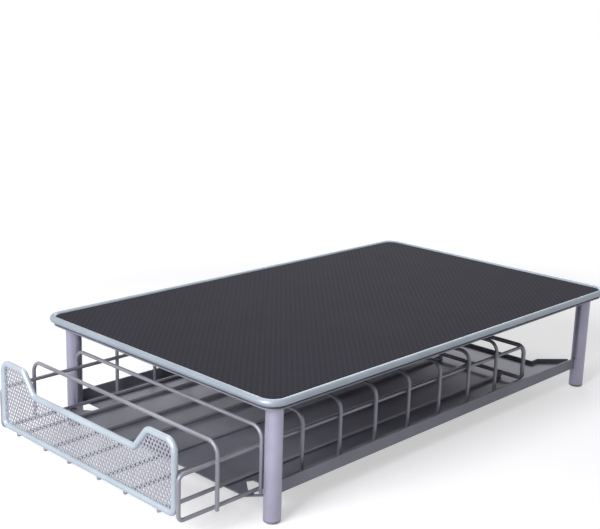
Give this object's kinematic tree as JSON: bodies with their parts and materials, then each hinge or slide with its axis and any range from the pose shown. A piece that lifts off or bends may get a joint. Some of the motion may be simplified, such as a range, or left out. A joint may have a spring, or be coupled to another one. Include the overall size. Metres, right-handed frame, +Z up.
{
  "type": "coffee pod drawer",
  "caption": "Low matted steel stand on four tube legs with a sheet shelf, on which a welded wire basket drawer with a notched mesh front slides out.",
  "frame": {"origin": "on the floor under the middle of the whole outline at rest, with the drawer drawn out a little", "axes": "+Z up, the drawer opens towards -Y, +X to the right seen from the front"},
  "size_m": [0.25, 0.4704, 0.09],
  "materials": {
    "rim_steel": "satin silver coating",
    "sheet_steel": "satin silver coating on sheet",
    "leg_steel": "satin silver coating on tube",
    "frame_wire": "satin silver coating on thick wire",
    "basket_wire": "satin silver coating on thin wire",
    "mesh_steel": "satin silver coating on expanded metal",
    "mat_rubber": "matt with a fine woven texture",
    "foot_plastic": "matt dark moulding"
  },
  "bodies": {
    "stand": {"top_rim": "rim_steel", "top_plate": "sheet_steel", "grip_mat": "mat_rubber", "leg_front_left": "leg_steel", "leg_front_right": "leg_steel", "leg_rear_left": "leg_steel", "leg_rear_right": "leg_steel", "foot_front_left": "foot_plastic", "foot_front_right": "foot_plastic", "foot_rear_left": "foot_plastic", "foot_rear_right": "foot_plastic", "base_plate": "sheet_steel"},
    "drawer": {"front_frame": "frame_wire", "front_mesh": "mesh_steel", "side_wire_left": "basket_wire", "side_wire_right": "basket_wire", "divider_1": "basket_wire", "divider_2": "basket_wire", "divider_3": "basket_wire", "divider_4": "basket_wire", "divider_5": "basket_wire", "divider_6": "basket_wire", "divider_7": "basket_wire", "divider_8": "basket_wire", "divider_9": "basket_wire", "rear_hoop": "basket_wire", "floor_wire_1": "basket_wire", "floor_wire_2": "basket_wire", "floor_wire_3": "basket_wire", "floor_wire_4": "basket_wire", "floor_wire_5": "basket_wire", "floor_wire_6": "basket_wire"}
  },
  "joints": [
    {"name": "drawer_slide", "type": "slide", "parent": "stand", "child": "drawer", "axis": [0, -1, 0], "range_m": [-0.046, 0.2]}
  ]
}
